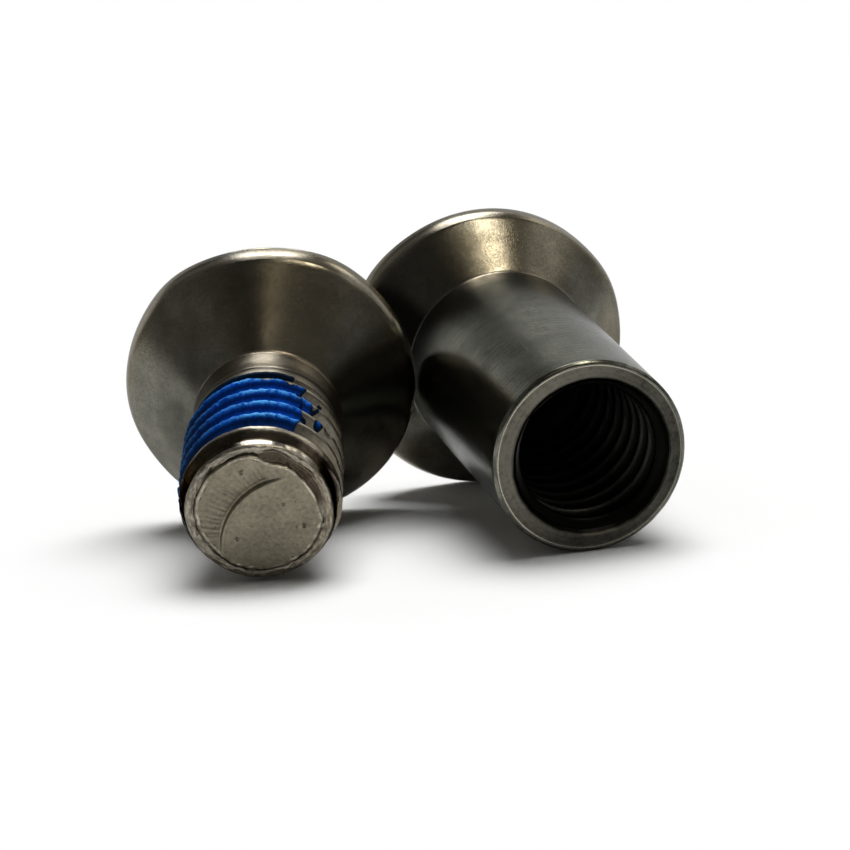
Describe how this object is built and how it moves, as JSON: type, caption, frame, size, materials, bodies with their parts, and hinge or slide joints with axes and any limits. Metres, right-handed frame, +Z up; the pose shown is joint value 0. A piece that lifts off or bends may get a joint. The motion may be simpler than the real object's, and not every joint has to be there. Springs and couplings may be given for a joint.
{
  "type": "binding barrel screw",
  "caption": "Countersunk machine screw with a nylon locking patch and its matching countersunk barrel nut, lying unscrewed side by side.",
  "frame": {"origin": "on the floor, under the middle of the box round both halves", "axes": "+Z up; both open ends point towards -Y; the barrel nut lies on the screw's +X side"},
  "size_m": [0.0206, 0.0174, 0.011],
  "materials": {
    "dark_steel": "dark satin",
    "blue_nylon": "matte"
  },
  "bodies": {
    "root": {"screw": "dark_steel", "barrel_nut": "dark_steel", "locking_patch": "blue_nylon"}
  },
  "joints": []
}
